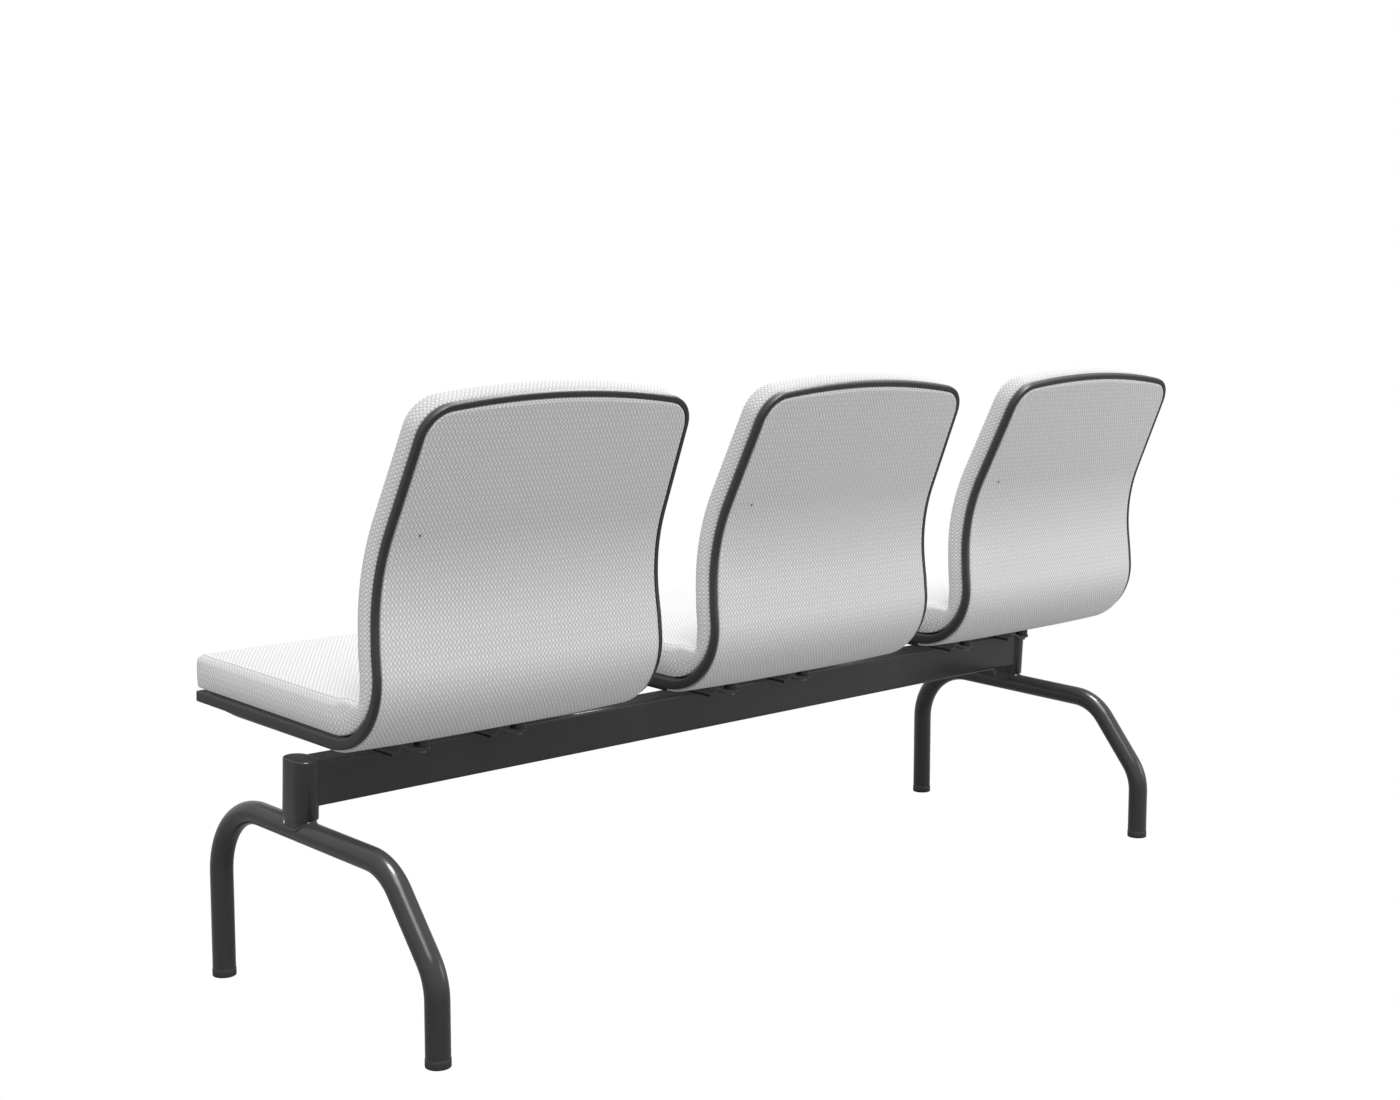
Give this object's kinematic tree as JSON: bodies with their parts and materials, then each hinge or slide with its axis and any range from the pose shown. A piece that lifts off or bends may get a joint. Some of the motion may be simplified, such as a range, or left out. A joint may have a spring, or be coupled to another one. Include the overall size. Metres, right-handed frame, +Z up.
{
  "type": "beam seating",
  "caption": "Upholstered waiting-room bench: separate L-shaped seats bolted through folded brackets to a rectangular steel beam on two bent tube legs.",
  "frame": {"origin": "middle of the whole bench at floor level", "axes": "+X along the beam to the sitters' left, +Y to the rear, +Z up; people sit facing -Y"},
  "size_m": [1.6985, 0.5664, 0.834],
  "materials": {
    "frame_paint": "semi-gloss dark grey powder coat",
    "foot_plastic": "matt black",
    "shell_plastic": "fine-grained dark grey",
    "upholstery": "light grey woven fabric with a small staggered dot",
    "bolt_steel": "zinc plated",
    "insert_brass": "plain"
  },
  "bodies": {
    "root": {"beam_tube": "frame_paint", "left_post": "frame_paint", "left_post_cap": "frame_paint", "left_post_sleeve": "frame_paint", "left_leg": "frame_paint", "left_front_foot": "foot_plastic", "left_rear_foot": "foot_plastic", "right_post": "frame_paint", "right_post_cap": "frame_paint", "right_post_sleeve": "frame_paint", "right_leg": "frame_paint", "right_front_foot": "foot_plastic", "right_rear_foot": "foot_plastic", "left_seat_shell": "shell_plastic", "left_seat_under_cover": "shell_plastic", "left_front_cushion": "upholstery", "left_rear_panel": "upholstery", "left_panel_plug": "shell_plastic", "left_bracket_left": "frame_paint", "left_bracket_right": "frame_paint", "left_spacers": "shell_plastic", "left_bolts": "bolt_steel", "left_inserts": "insert_brass", "middle_seat_shell": "shell_plastic", "middle_seat_under_cover": "shell_plastic", "middle_front_cushion": "upholstery", "middle_rear_panel": "upholstery", "middle_panel_plug": "shell_plastic", "middle_bracket_left": "frame_paint", "middle_bracket_right": "frame_paint", "middle_spacers": "shell_plastic", "middle_bolts": "bolt_steel", "middle_inserts": "insert_brass", "right_seat_shell": "shell_plastic", "right_seat_under_cover": "shell_plastic", "right_front_cushion": "upholstery", "right_rear_panel": "upholstery", "right_panel_plug": "shell_plastic", "right_bracket_left": "frame_paint", "right_bracket_right": "frame_paint", "right_spacers": "shell_plastic", "right_bolts": "bolt_steel", "right_inserts": "insert_brass"}
  },
  "joints": []
}
